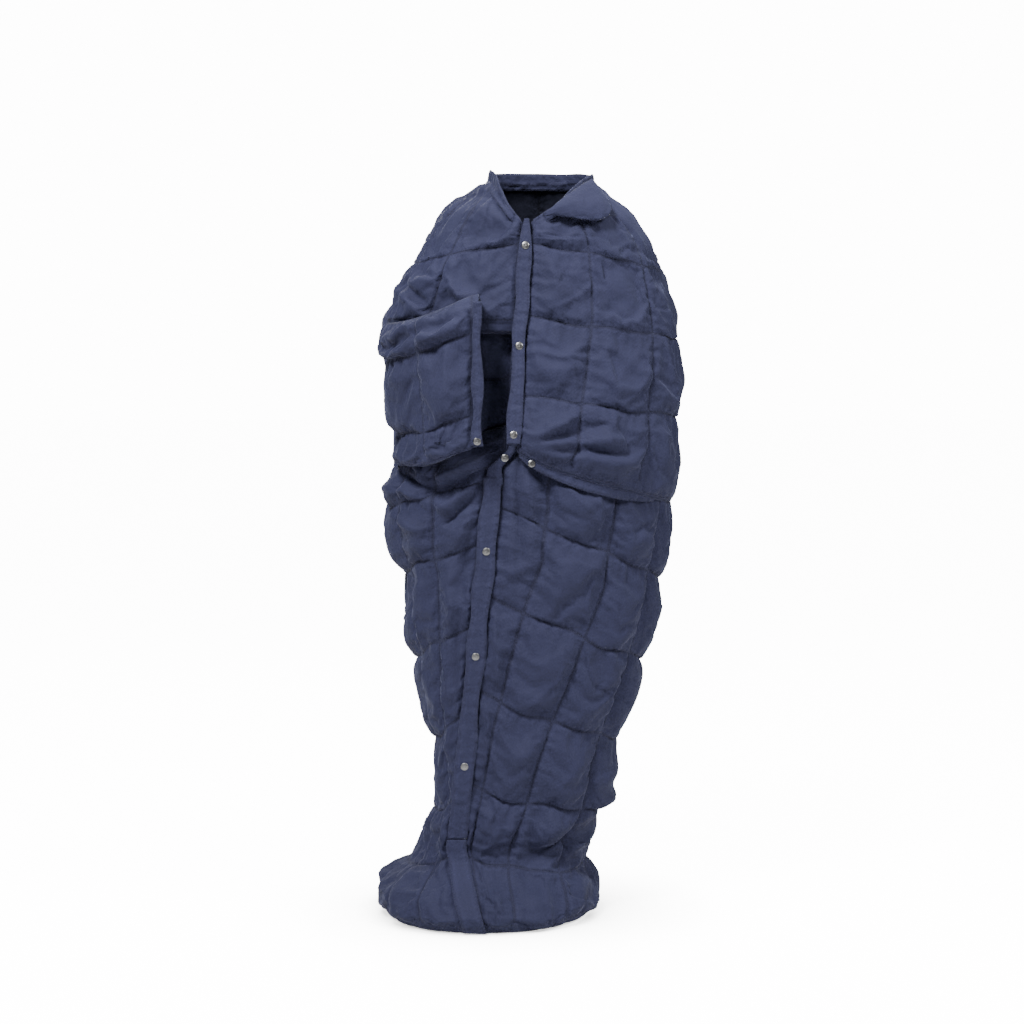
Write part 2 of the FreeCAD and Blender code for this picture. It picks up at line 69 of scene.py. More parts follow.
# The tube's outline by height: left, right, middle depth and back.
BODY = [
    (0, -296, 128, -38, 150), (22, -307, 141, -36, 158), (54, -302, 139, -30, 156),
    (87, -270, 125, -20, 144), (112, -238, 115, -15, 138), (149, -213, 121, -10, 133),
    (211, -197, 152, -8, 136), (273, -184, 166, -6, 145), (376, -207, 192, -4, 160),
    (457, -226, 220, -3, 173), (539, -242, 242, -2, 184), (672, -257, 268, 0, 198),
    (743, -284, 279, 0, 203), (824, -291, 293, 0, 206), (925, -274, 301, 0, 205),
    (1026, -279, 304, 0, 205), (1146, -301, 303, 1, 206), (1186, -297, 298, 3, 205),
    (1226, -273, 287, 5, 203), (1306, -239, 266, 10, 194), (1346, -212, 250, 14, 184),
    (1386, -187, 220, 18, 168), (1426, -151, 178, 22, 146), (1470, -92, 136, 26, 116),
]
# How far forward the front reaches by height: the skirt, the cape over it, and the layer in the sleeve.
SKIRT_FRONT = [
    (0, -280), (25, -288), (58, -270), (95, -226), (125, -196), (150, -189.7), (170, -190),
    (880, -197), (900, -197.2), (965, -180),
]
CAPE_FRONT = [
    (820, -228), (900, -227), (938, -221), (958, -217.8), (1380, -150), (1400, -146.8),
    (1426, -128), (1470, -84),
]
INNER_FRONT = [(900, -150.2), (940, -148), (1190, -134), (1240, -131.2)]
# Where the two front edges meet, across the front, by height.
CLOSURE = [
    (0, -106), (60, -124), (110, -138), (150, -145.6), (170, -143.5), (880, -71.3), (896, -69.6),
    (921, -47), (938, -34.4), (958, -33.2), (1380, -6.8), (1400, -5.6), (1480, -2),
]
# Quilt seams by height, from the top down: at the front edge and at the side of each panel.
SEAM_RISE = 1.6  # how fast a seam leaves its front height on the way to the side
RIGHT_CAPE_SEAMS = ([1380, 1335, 1194, 1040, 938], [1470, 1287, 1146, 995, 825], 3.2)
LEFT_CAPE_SEAMS = ([1380, 1335, 1186], [1470, 1300, 1192], 4.0)
LEFT_INNER_SEAMS = ([1214, 1070, 938], [1206, 1060, 912], SEAM_RISE)
RIGHT_SKIRT_SEAMS = (
    [936, 817, 652, 462, 278, 140, 8], [816, 666, 498, 345, 203, 100, 8], SEAM_RISE)
LEFT_SKIRT_SEAMS = (
    [960, 870, 757, 590, 410, 255, 140, 8], [888, 812, 676, 510, 345, 203, 100, 8], SEAM_RISE)
BACK_SEAMS = [1470, 1300, 1146, 995, 825, 666, 498, 345, 203, 100, 8]
RIGHT_CAPE_COLUMNS = [0.0, 0.25, 0.60, 1.0]
LEFT_CAPE_COLUMNS = [0.0, 0.43, 0.80, 1.0]
SLEEVE_COLUMNS = [0.0, 0.38, 1.0]
RIGHT_SKIRT_COLUMNS = [0.0, 0.14, 0.42, 0.72, 1.0]
LEFT_SKIRT_COLUMNS = [0.0, 0.31, 0.66, 1.0]
INNER_COLUMNS = [0.0, 0.5, 1.0]
BACK_COLUMNS = [k / 6 for k in range(7)]
CAPE_DRIFT, SKIRT_DRIFT = 0.08, 0.25  # how fast the upright seams run towards the closure, per row
DRIFT_START = 1.4  # the row where they start to
INNER_SIDE_ANGLE = 50.0
# The left sleeve, from its mouth near the front to the elbow.
SLEEVE_MOUTH = -114.0
SLEEVE_FRONT = -260.0
SLEEVE_TOP = (1240.0, 1182.0)
SLEEVE_RISE = 3.0
SLEEVE_BOTTOM = (940.0, 902.0)
SLEEVE_ROWS = [1.0, 0.73, 0.21, 0.0]
SLEEVE_REACH = [(0.0, 260), (0.76, 260), (0.80, 260),
                (0.90, 250), (0.96, 234), (1.0, 214)]
DEPTH_SHIFT = 42.0  # moves the whole blanket back, so that the origin is under its middle
SQUARENESS = 0.85  # exponent of the tube's plan outline: 1 is an ellipse
CHEST_EDGE, SKIRT_EDGE = 12.0, 16.0  # from the closure's middle to the panels' edges, under the bands
NORMAL_STEP = 0.004
EDGE_STEP = 0.01


# ---------------------------------------------------------------- shape of the blanket
def between(rows, height, column=1):
    """A smooth value from rows in order of height, with no overshoot between two rows."""
    if height <= rows[0][0]:
        return float(rows[0][column])
    if height >= rows[-1][0]:
        return float(rows[-1][column])
    k = 0
    while rows[k + 1][0] < height:
        k += 1

    def chord(i):
        return (rows[i + 1][column] - rows[i][column]) / (rows[i + 1][0] - rows[i][0])

    def slope(i):
        if i == 0 or i == len(rows) - 1:
            return chord(min(i, len(rows) - 2))
        before, after = chord(i - 1), chord(i)
        if before * after <= 0:
            return 0.0
        return 2 * before * after / (before + after)

    step = rows[k + 1][0] - rows[k][0]
    t = (height - rows[k][0]) / step
    return (
        rows[k][column] * (2 * t**3 - 3 * t**2 + 1)
        + slope(k) * step * (t**3 - 2 * t**2 + t)
        + rows[k + 1][column] * (3 * t**2 - 2 * t**3)
        + slope(k + 1) * step * (t**3 - t**2)
    )


def power(value):
    """A sine or cosine raised to the outline's exponent, with its sign kept."""
    return math.copysign(abs(value) ** SQUARENESS, value)


def tube(angle, height, front):
    """A point on the tube: angle 0 is the front edge, 90 the right side, 180 the back, -90 the left."""
    left, right, middle, back = (between(BODY, height, c) for c in (1, 2, 3, 4))
    sine = math.sin(math.radians(angle))
    cosine = math.cos(math.radians(angle))
    centre = between(CLOSURE, height) if cosine > 0 else (left + right) / 2
    half = right - centre if sine > 0 else centre - left
    reach = middle - between(front, height) if cosine > 0 else back - middle
    return Vector((centre + half * power(sine), middle - reach * power(cosine) + DEPTH_SHIFT, height))


def edge_angle(height, offset):
    """The tube's angle at a distance to the right of the closure, which is negative on the left."""
    centre = between(CLOSURE, height)
    half = between(BODY, height, 2) - centre if offset > 0 else centre - between(BODY, height, 1)
    return math.degrees(math.asin(math.copysign((abs(offset) / half) ** (1 / SQUARENESS), offset)))


def seam_height(seams, u, v):
    """Height of quilt row v, counted down from the top, at a share u of the way from front to side."""
    at_front, at_side, top_rise = seams
    k = max(0, min(int(v), len(at_front) - 2))
    ease = 1 - (1 - u) ** SEAM_RISE
    top_ease = ease if k else 1 - (1 - u) ** top_rise
    here = at_front[k] + (at_side[k] - at_front[k]) * top_ease
    below = at_front[k + 1] + (at_side[k + 1] - at_front[k + 1]) * ease
    return here + (below - here) * (v - k)


def front_panel(seams, front, offset, side_angle, drift=0.0):
    """A map from (u, v) to a front panel, from its free edge at u 0 to a side angle at u 1."""

    def point(u, v):
        height = seam_height(seams, u, v)
        start = edge_angle(height, offset)
        across = u ** (1 + drift * max(0.0, v - DRIFT_START))
        return tube(start + across * (side_angle - start), height, front)

    return point


def back_panel(u, v):
    """The back, from the right side at u 0 to the left side at u 1."""
    return tube(90 + 180 * u, seam_height((BACK_SEAMS, BACK_SEAMS, SEAM_RISE), 0, v), SKIRT_FRONT)


def sleeve(u, v):
    """The left sleeve, from its mouth at u 0 to the elbow at u 1, and down from the forearm with v."""
    k = max(0, min(int(v), len(SLEEVE_ROWS) - 2))
    share = SLEEVE_ROWS[k] + (SLEEVE_ROWS[k + 1] - SLEEVE_ROWS[k]) * (v - k)
    mouth = SLEEVE_BOTTOM[0] + (SLEEVE_TOP[0] - SLEEVE_BOTTOM[0]) * share
    elbow = SLEEVE_BOTTOM[1] + (SLEEVE_TOP[1] - SLEEVE_BOTTOM[1]) * share
    height = mouth + (elbow - mouth) * (1 - (1 - u) ** SLEEVE_RISE)
    width = SLEEVE_MOUTH - between(BODY, elbow, 1)
    angle = math.radians(90 * u)
    x = SLEEVE_MOUTH - width * power(math.sin(angle))
    y = -between(SLEEVE_REACH, share) * power(math.cos(angle))
    return Vector((x, y + DEPTH_SHIFT, height))


CAPE_BOTTOM = len(RIGHT_CAPE_SEAMS[0]) - 1
right_cape = front_panel(RIGHT_CAPE_SEAMS, CAPE_FRONT, CHEST_EDGE, 90, CAPE_DRIFT)
left_cape = front_panel(LEFT_CAPE_SEAMS, CAPE_FRONT, -CHEST_EDGE, -90)
left_inner = front_panel(LEFT_INNER_SEAMS, INNER_FRONT, -CHEST_EDGE, -INNER_SIDE_ANGLE)
right_skirt = front_panel(RIGHT_SKIRT_SEAMS, SKIRT_FRONT, SKIRT_EDGE, 90, SKIRT_DRIFT)
left_skirt = front_panel(LEFT_SKIRT_SEAMS, SKIRT_FRONT, -SKIRT_EDGE, -90)


def outward(point, facing, u, v):
    """The unit normal of a panel's map, on the side that faces out."""
    across = point(min(u + NORMAL_STEP, 1), v) - point(max(u - NORMAL_STEP, 0), v)
    down = point(u, v + NORMAL_STEP) - point(u, v - NORMAL_STEP)
    return (down.cross(across) * facing).normalized()


def down_edge(point, u, v):
    """The direction in which v grows, along a panel's face."""
    return (point(u, v + EDGE_STEP) - point(u, v - EDGE_STEP)).normalized()


# Folds of the cloth: where each starts and ends, across and up, its half width and its height.
FOLDS = {
    "right_cape": [
        ((-8, 952), (120, 1015), 13, 10), ((0, 947), (150, 985), 8, -8), ((0, 942), (175, 958), 11, 11),
        ((10, 938), (190, 930), 8, -8), ((15, 934), (205, 905), 11, 8), ((170, 985), (280, 955), 14, 5),
        ((185, 1440), (228, 1330), 15, 5), ((150, 1430), (190, 1330), 9, -3),
        ((225, 1310), (266, 1225), 13, 5), ((196, 1290), (236, 1190), 9, -4),
        ((20, 1340), (70, 1230), 16, 3), ((160, 1140), (250, 1060), 12, 4),
        ((30, 1160), (110, 1090), 14, 3), ((215, 1110), (285, 1020), 10, 4),
        ((40, 1020), (140, 1040), 10, 3),
    ],
    "left_cape": [
        ((-60, 1440), (-170, 1335), 16, 5), ((-40, 1400), (-140, 1300), 12, -3),
        ((-120, 1325), (-235, 1250), 15, 7), ((-243, 1252), (-195, 1204), 9, -9),
        ((-166, 1228), (-195, 1204), 8, -8), ((-262, 1245), (-216, 1196), 11, 8),
        ((-186, 1262), (-110, 1232), 14, 7), ((-225, 1290), (-150, 1250), 9, -5),
        ((-60, 1300), (-130, 1225), 13, 4),
    ],
    "left_inner": [
        ((-60, 1180), (-80, 960), 8, -5), ((-78, 1190), (-104, 960), 9, 5),
    ],
    "left_sleeve": [
        ((-288, 1160), (-204, 1190), 13, 8), ((-204, 1190), (-112, 1228), 13, 8),
        ((-280, 1140), (-165, 1192), 9, -7), ((-272, 1118), (-150, 1172), 12, 6),
        ((-285, 1085), (-185, 1128), 10, -5), ((-290, 1060), (-190, 1100), 12, 5),
        ((-232, 1150), (-240, 965), 9, -6), ((-206, 1150), (-216, 955), 12, 6),
        ((-262, 1120), (-270, 960), 11, 5), ((-156, 1180), (-160, 965), 16, 4),
        ((-130, 1150), (-136, 1000), 8, -3),
    ],
    "right_skirt": [
        ((-4, 932), (62, 800), 9, -7), ((14, 932), (112, 826), 13, 8), ((-14, 915), (14, 764), 12, 7),
        ((-26, 900), (-16, 720), 9, -6), ((60, 915), (180, 850), 12, 6), ((40, 905), (150, 800), 8, -5),
        ((-45, 870), (-38, 690), 11, 6), ((215, 780), (262, 690), 13, 6),
        ((150, 700), (232, 640), 10, -4), ((-20, 640), (40, 560), 14, 4), ((120, 560), (215, 480), 12, 5),
        ((60, 520), (110, 440), 10, -4), ((-70, 610), (-62, 470), 9, 5), ((-50, 560), (-40, 430), 7, -4),
        ((-90, 430), (-70, 300), 10, 5), ((190, 300), (60, 236), 14, 7), ((180, 240), (20, 182), 22, 17),
        ((168, 200), (10, 146), 10, -11), ((150, 176), (40, 118), 11, 7),
        ((-60, 250), (-110, 160), 10, 6), ((-30, 240), (-70, 150), 8, -5), ((0, 230), (-30, 120), 10, 5),
        ((90, 130), (110, 50), 10, 5), ((30, 120), (40, 40), 10, 4),
    ],
    "left_skirt": [
        ((-72, 926), (-175, 882), 12, 15), ((-175, 882), (-246, 912), 12, 13),
        ((-76, 906), (-180, 852), 8, -12), ((-180, 852), (-268, 888), 8, -10),
        ((-82, 886), (-170, 822), 12, 14), ((-170, 822), (-276, 852), 12, 12),
        ((-88, 866), (-166, 790), 8, -10), ((-92, 850), (-150, 745), 11, 12),
        ((-200, 770), (-280, 800), 10, 8), ((-104, 860), (-126, 740), 8, -7),
        ((-126, 740), (-146, 560), 8, -8), ((-146, 560), (-158, 400), 8, -6),
        ((-142, 742), (-166, 562), 12, 8), ((-166, 562), (-180, 410), 11, 6),
        ((-190, 690), (-216, 520), 9, -5), ((-214, 680), (-236, 540), 11, 6),
        ((-150, 400), (-166, 250), 8, -5), ((-172, 390), (-180, 240), 10, 5),
        ((-158, 230), (-178, 110), 8, 7), ((-174, 225), (-208, 105), 7, -6),
        ((-186, 225), (-240, 110), 9, 8), ((-192, 170), (-270, 80), 8, -5),
        ((-150, 140), (-166, 60), 8, 5), ((-230, 110), (-290, 50), 10, 6),
    ],
    "back": [],
}
FOLD_GAIN = 1.35
# How far each panel's sheet runs on under a band or a neighbour: along its face and inwards.
FLANGES = {
    "right_cape": {"u0": (4, 1), "u1": (9, 3), "v1": (8, 4)},
    "left_cape": {"u0": (4, 1), "u1": (9, 3), "v1": (26, 10)},
    "left_inner": {"u0": (4, 1), "u1": (30, 10), "v0": (14, 2), "v1": (40, 6)},
    "left_sleeve": {"u0": (12, 3), "u1": (9, 3), "v0": (4, 36), "v1": (2, 26)},
    "right_skirt": {"u0": (7, 1), "u1": (9, 3), "v0": (42, 12)},
    "left_skirt": {"u0": (7, 1), "u1": (9, 3), "v0": (30, 14)},
    "back": {"u0": (7, 1), "u1": (7, 1)},
}
FLANGE_STEPS = 3
WANDER = (0.013, 0.065)  # how far a quilt seam strays from its line, across and down


def fold_height(folds, place):
    """How far the folds lift the cloth at a place."""
    total = 0.0
    for (x0, z0), (x1, z1), width, height in folds:
        along = Vector((x1 - x0, z1 - z0))
        offset = Vector((place.x - x0, place.z - z0))
        share = max(0.0, min(1.0, offset.dot(along) / along.length_squared))
        distance = (offset - along * share).length / width
        fade = math.sin(math.pi * (0.12 + 0.76 * share)) ** 0.6
        total += FOLD_GAIN * height * fade * math.exp(-distance * distance)
    return total


# ---------------------------------------------------------------- padded panels
def sample_lines(seams, spacing, length):
    """Lines from the first seam to the last, about a spacing apart, and the ones that are seams."""
    lines, marks = [], []
    for low, high in zip(seams, seams[1:]):
        steps = max(2, round(abs(high - low) * length / spacing))
        marks.append(len(lines))
        lines += [low + (high - low) * k / steps for k in range(steps)]
    marks.append(len(lines))
    return lines + [seams[-1]], marks


def hump(share):
    """The height of a padded section from seam to seam: steep at the seams, flat on top."""
    return (1 - abs(2 * share - 1) ** 2.3) ** 0.75


def with_flanges(lines, marks, before, after):
    """Adds sample lines that repeat the first and the last line, for the sheet beyond them."""
    first = [(lines[0], -(FLANGE_STEPS - k) / FLANGE_STEPS) for k in range(FLANGE_STEPS)] if before else []
    last = [(lines[-1], (k + 1) / FLANGE_STEPS) for k in range(FLANGE_STEPS)] if after else []
    return first + [(line, 0.0) for line in lines] + last, [mark + len(first) for mark in marks]


def creased(x, y, seed):
    """Broad soft creases of slack cloth, in mm."""
    bend = 22 * noise.noise(Vector((x * 0.006, y * 0.006, seed + 3)))
    ridge = 1 - abs(noise.noise(Vector(((x + bend) * 0.013, (y - bend) * 0.008, seed)))) * 3.2
    return 3.4 * max(0.0, ridge) ** 2 + 2.0 * noise.noise(Vector((x * 0.02, y * 0.016, seed + 5)))


def panel_piece(name, point, facing, columns, rows, spacing, seed):
    """A quilted panel: an outer and an inner sheet that meet at the edges, with sewn chambers."""
    row_at = rows[len(rows) // 2] + 0.3
    width = sum((point((k + 1) / 20, row_at) - point(k / 20, row_at)).length for k in range(20))
    steps = [rows[0] + (rows[-1] - rows[0]) * k / 30 for k in range(31)]
    drop = sum((point(0.4, low) - point(0.4, high)).length for low, high in zip(steps, steps[1:]))
    us, u_marks = sample_lines(columns, spacing, width)
    vs, v_marks = sample_lines(rows, spacing, drop / (rows[-1] - rows[0]))
    folds, flanges = FOLDS[name], FLANGES[name]
    us, u_marks = with_flanges(us, u_marks, "u0" in flanges, "u1" in flanges)
    vs, v_marks = with_flanges(vs, v_marks, "v0" in flanges, "v1" in flanges)
    nu, nv = len(us), len(vs)
    per_row = drop / (rows[-1] - rows[0])

    def cell(index, marks):
        k = 0
        while k < len(marks) - 2 and index > marks[k + 1]:
            k += 1
        return k, max(0.0, min(1.0, (index - marks[k]) / (marks[k + 1] - marks[k])))

    def beyond(u, v, share, along):
        """The way from an edge to a place on its flange."""
        if not share:
            return Vector()
        length, sink = flanges[along + ("0" if share < 0 else "1")]
        if along == "u":
            away = (point(min(u + EDGE_STEP, 1), v) - point(max(u - EDGE_STEP, 0), v)).normalized()
        else:
            away = down_edge(point, u, v)
        return away * share * length - outward(point, facing, u, v) * abs(share) * sink

    outer, inner, normals, seam, uv = [], [], [], [], []
    for j, (line_v, past_v) in enumerate(vs):
        row, t = cell(j, v_marks)
        high = (vs[v_marks[row + 1]][0] - vs[v_marks[row]][0]) * per_row
        for i, (u, past_u) in enumerate(us):
            v = line_v
            column, s = cell(i, u_marks)
            wide = (us[u_marks[column + 1]][0] - us[u_marks[column]][0]) * width
            x, y = u * width, v * per_row
            stray_u = WANDER[0] * noise.noise(Vector((u * 6, v * 1.6, seed + 13)))
            stray_u *= min(1.0, 8 * u * (1 - u))
            stray_v = WANDER[1] * noise.noise(Vector((u * 5, v * 1.3, seed + 17)))
            stray_v *= max(0.0, min(1.0, 2 * (v - rows[0]), 2 * (rows[-1] - v)))
            u, v = max(0.0, min(1.0, u + stray_u)), v + stray_v
            place = point(u, v)
            normal = outward(point, facing, u, v)
            past = beyond(u, v, past_u, "u") + beyond(u, v, past_v, "v")
            base = place - normal * SINK + past
            puff = hump(s) * hump(t)
            wobble = noise.noise(Vector((x, y, seed)) * 0.018)
            cross_u = min(s, 1 - s) * wide
            cross_v = min(t, 1 - t) * high
            narrow = min(1.0, wide / NARROW)
            rim = min(1.0, min(x, (columns[-1] - u) * width, (v - rows[0]) * per_row,
                               (rows[-1] - v) * per_row) / RIM)
            lift = CROWN * puff * (1 + 0.5 * wobble) * narrow
            tuck = noise.noise(Vector((x * 0.07, v * 2.1, seed + 7))) * math.exp(-cross_v / TUCK_REACH)
            tuck += noise.noise(Vector((u * 2.1, y * 0.07, seed + 9))) * math.exp(-cross_u / TUCK_REACH)
            lift += TUCK * tuck * min(1.0, puff * 3)
            slack = creased(x, y, seed) + fold_height(folds, place)
            lift += slack * max(0.0, rim) * (0.35 + 0.65 * puff)
            outer.append((base + normal * lift) * MM)
            inner.append((base - normal * max(LEAST_LOFT, INNER_CROWN * puff * narrow)) * MM)
            normals.append(normal)
            seam.append((min(cross_u, cross_v) if past.length == 0 else SEAM_FREE) * MM)
            uv.append((x * MM, -y * MM))

    pinned = [
        j * nu + i for j in range(nv) for i in range(nu)
        if j in v_marks or i in u_marks or us[i][1] or vs[j][1]
    ]
    piece = grid_object(name, nu, nv, outer, facing)
    set_float(piece, "seam", seam)
    set_uv(piece, uv)
    puff_up(piece, pinned)
    close_panel(piece, nu, nv, inner, normals, seam, uv, facing)
    return piece


def grid_object(name, nu, nv, points, facing):
    """A grid primitive whose points are moved to a panel's places."""
    bpy.ops.object.select_all(action="DESELECT")
    bpy.ops.mesh.primitive_grid_add(x_subdivisions=nu - 1, y_subdivisions=nv - 1, size=1)
    piece = bpy.context.object
    piece.name = name
    piece.data.name = name
    for vertex, place in zip(piece.data.vertices, points):
        vertex.co = place
    piece.data.update()
    if facing > 0:
        piece.data.flip_normals()
    return piece


def set_float(piece, name, values):
    """Gives each point of a piece a value."""
    layer = piece.data.attributes.get(name) or piece.data.attributes.new(name, "FLOAT", "POINT")
    layer.data.foreach_set("value", values)


def set_uv(piece, uv):
    """Gives each corner of a piece its point's place on the flat cloth, in metres."""
    layer = piece.data.uv_layers.active or piece.data.uv_layers.new(name="UVMap")
    for loop in piece.data.loops:
        layer.data[loop.index].uv = uv[loop.vertex_index]


SIMULATED = []  # sheets with cloth on them, and where their points started
PENDING = []  # linings to sew on once the sheets have been blown up


def smooth(mesh):
    """Shades a mesh smooth."""
    for polygon in mesh.polygons:
        polygon.use_smooth = True


def puff_up(piece, pinned):
    """Cloth on a sheet that is held along its seams, blown up by the filling."""
    group = piece.vertex_groups.new(name="seams")
    group.add(pinned, 1.0, "REPLACE")
    cloth = piece.modifiers.new("Cloth", "CLOTH")
    cloth.settings.quality = 4
    cloth.settings.mass = 0.2
    cloth.settings.tension_stiffness = 12
    cloth.settings.compression_stiffness = 12
    cloth.settings.shear_stiffness = 4
    cloth.settings.bending_stiffness = 0.15
    cloth.settings.vertex_group_mass = "seams"
    cloth.settings.shrink_min = -SLACK
    cloth.settings.use_pressure = True
    cloth.settings.uniform_pressure_force = 1.2
    cloth.settings.effector_weights.gravity = 0.25
    cloth.collision_settings.use_collision = False
    cloth.point_cache.frame_start = 1
    cloth.point_cache.frame_end = SIM_FRAMES
    SIMULATED.append((piece, [v.co.copy() for v in piece.data.vertices]))


def close_panel(piece, nu, nv, inner, normals, seam, uv, facing):
    """Remembers the lining of a panel, which is sewn on when the outer sheets have been blown up."""
    PENDING.append((piece, nu, nv, inner, normals, seam, uv, facing))


def run_cloth():
    """Runs every cloth together, applies the result, and keeps each point within reach of its start."""
    scene = bpy.context.scene
    scene.frame_start, scene.frame_end = 1, SIM_FRAMES
    for step in range(1, SIM_FRAMES + 1):
        scene.frame_set(step)
    for piece, starts in SIMULATED:
        bpy.ops.object.select_all(action="DESELECT")
        bpy.context.view_layer.objects.active = piece
        piece.select_set(True)
        bpy.ops.object.modifier_apply(modifier="Cloth")
        for vertex, start in zip(piece.data.vertices, starts):
            move = vertex.co - start
            if move.length > CLOTH_REACH * MM:
                vertex.co = start + move.normalized() * (CLOTH_REACH * MM)
        piece.vertex_groups.clear()
    scene.frame_set(1)


def sew_linings():
    """Joins each panel's inner sheet to its outer sheet along the border."""
    for piece, nu, nv, inner, normals, seam, uv, facing in PENDING:
        mesh = bmesh.new()
        mesh.from_mesh(piece.data)
        outer = list(mesh.verts)
        seam_layer = mesh.verts.layers.float["seam"]
        uv_layer = mesh.loops.layers.uv.active
        lining = []
        for index, place in enumerate(inner):
            j, i = divmod(index, nu)
            if i in (0, nu - 1) or j in (0, nv - 1):
                lining.append(outer[index])
                continue
            normal = normals[index]
            room = (outer[index].co - place).dot(normal) - LINING_GAP * MM
            vertex = mesh.verts.new(place + normal * min(0.0, room))
            vertex[seam_layer] = seam[index]
            lining.append(vertex)
        border = set(outer) & set(lining)
        for j in range(nv - 1):
            for i in range(nu - 1):
                corners = [j * nu + i, j * nu + i + 1, (j + 1) * nu + i + 1, (j + 1) * nu + i]
                if facing > 0:
                    corners.reverse()
                quad = [lining[k] for k in corners]
                if len(set(quad) & border) == 4 and mesh.faces.get(quad):
                    continue
                face = mesh.faces.new(quad)
                face.material_index = 1
                for loop, k in zip(face.loops, corners):
                    loop[uv_layer].uv = uv[k]
        bmesh.ops.recalc_face_normals(mesh, faces=mesh.faces[:])
        mesh.to_mesh(piece.data)
        mesh.free()
        smooth(piece.data)


# ---------------------------------------------------------------- tapes and plackets
def tape(name, middle, normal, across, steps, half, thick, seed=0.0, wavy=1.0):
    """A flat sewn tape; functions give its middle, face normal, direction across and half width."""
    points, seam, uv = [], [], []
    length = 0.0
    last = None
    for k in range(steps + 1):
        share = k / steps
        centre, face, side = middle(share), normal(share), across(share)
        length += (centre - last).length if last else 0.0
        last = centre
        for s in range(TAPE_SECTION):
            angle = 2 * math.pi * s / TAPE_SECTION
            c, t = math.cos(angle), math.sin(angle)
            reach = half(share)
            x = math.copysign(abs(c) ** 0.6, c) * reach
            pucker = 1 + 0.9 * noise.noise(Vector((length * 0.085, x * 0.04, seed)))
            y = math.copysign(abs(t) ** 0.8, t) * thick / 2 * pucker
            y += 1.2 * noise.noise(Vector((length * 0.03, x * 0.03, seed + 4)))
            edge = 3.0 + 0.5 * math.copysign(1, c)  # the two edges wave on their own
            wave = wavy * 2.4 * noise.noise(Vector((length * 0.016, seed, edge)))
            place = centre + side * (x + wave) + face * y
            place.z = max(0.2, place.z)
            points.append(place * MM)
            seam.append(max(0.0, reach - STITCH_INSET - abs(x)) * MM)
            uv.append((x * MM, length * MM))
    mesh = bpy.data.meshes.new(name)
    faces = []
    for k in range(steps):
        for s in range(TAPE_SECTION):
            n = (s + 1) % TAPE_SECTION
            here, there = k * TAPE_SECTION, (k + 1) * TAPE_SECTION
            faces.append((here + s, here + n, there + n, there + s))
    faces.append(tuple(range(TAPE_SECTION)))
    faces.append(tuple(steps * TAPE_SECTION + s for s in reversed(range(TAPE_SECTION))))
    mesh.from_pydata(points, [], faces)
    piece = bpy.data.objects.new(name, mesh)
    bpy.context.scene.collection.objects.link(piece)
    set_float(piece, "seam", seam)
    set_uv(piece, uv)
    sheet = bmesh.new()
    sheet.from_mesh(mesh)
    bmesh.ops.recalc_face_normals(sheet, faces=sheet.faces[:])
    sheet.to_mesh(mesh)
    sheet.free()
    smooth(mesh)
    return piece


def edge_tape(name, point, facing, v_edge, beyond=3.0, steps=90):
    """Tape along the top or bottom edge of a panel."""

    def middle(u):
        away = down_edge(point, u, v_edge) * (1 if v_edge else -1)
        sunk = point(u, v_edge) - outward(point, facing, u, v_edge) * SINK
        return sunk + away * (beyond - TAPE_HALF)

    def normal(u):
        return outward(point, facing, u, v_edge)

    def across(u):
        return down_edge(point, u, v_edge)

    return tape(name, middle, normal, across, steps, lambda share: TAPE_HALF, TAPE_THICK)


def placket(name, line, low, high, half, thick, depth, steps, seed, top_half=None,
            wavy=1.0, tucked=0.0, taper=1):
    """A band at a depth under a closure; line gives the closure's place by height."""
    end_half = half if top_half is None else top_half

    def height(share):
        return low + (high - low) * share

    def normal(share):
        along = (line(height(share) + 2) - line(height(share) - 2)).normalized()
        return Vector((1, 0, 0)).cross(along).normalized()

    def middle(share):
        tuck = tucked * max(0.0, 1 - share / 0.3) ** 2
        return line(height(share)) - normal(share) * (depth + tuck + thick / 2)

    return tape(name, middle, normal, lambda share: Vector((1, 0, 0)), steps,
                lambda share: half + (end_half - half) * share**taper, thick, seed, wavy)


# ---------------------------------------------------------------- materials
NAVY, NAVY_FADED = (0.0085, 0.0097, 0.0290, 1), (0.0235, 0.0254, 0.066, 1)
LINING, LINING_FADED = (0.008, 0.009, 0.021, 1), (0.015, 0.0165, 0.036, 1)


def node_group(name, inputs, outputs):
    """An empty node group with its sockets, and the nodes that hold them."""
    tree = bpy.data.node_groups.new(name, "ShaderNodeTree")
    for label, kind, value in inputs:
        socket = tree.interface.new_socket(label, in_out="INPUT", socket_type=kind)
        if value is not None:
            socket.default_value = value
    for label, kind in outputs:
        tree.interface.new_socket(label, in_out="OUTPUT", socket_type=kind)
    return tree, tree.nodes.new("NodeGroupInput"), tree.nodes.new("NodeGroupOutput")


def calc(tree, operation, *values):
    """A math node; a value is a number or a socket."""
    node = tree.nodes.new("ShaderNodeMath")
    node.operation = operation
    for socket, value in zip(node.inputs, values):
        if isinstance(value, (int, float)):
            socket.default_value = value
        else:
            tree.links.new(value, socket)
    return node.outputs[0]


def cloth_place(tree):
    """The two sockets of a place on the flat cloth."""
    cloth = tree.nodes.new("ShaderNodeUVMap")
    cloth.uv_map = "UVMap"
    parts = tree.nodes.new("ShaderNodeSeparateXYZ")
    tree.links.new(cloth.outputs[0], parts.inputs[0])
    return parts.outputs[0], parts.outputs[1]


def cloud(tree, scale, detail, distortion=0.0):
    """Noise through space, from 0 to 1."""
    node = tree.nodes.new("ShaderNodeTexNoise")
    node.inputs["Scale"].default_value = scale
    node.inputs["Detail"].default_value = detail
    node.inputs["Distortion"].default_value = distortion
    tree.links.new(tree.nodes.new("ShaderNodeTexCoord").outputs["Object"], node.inputs["Vector"])
    return node.outputs["Fac"]


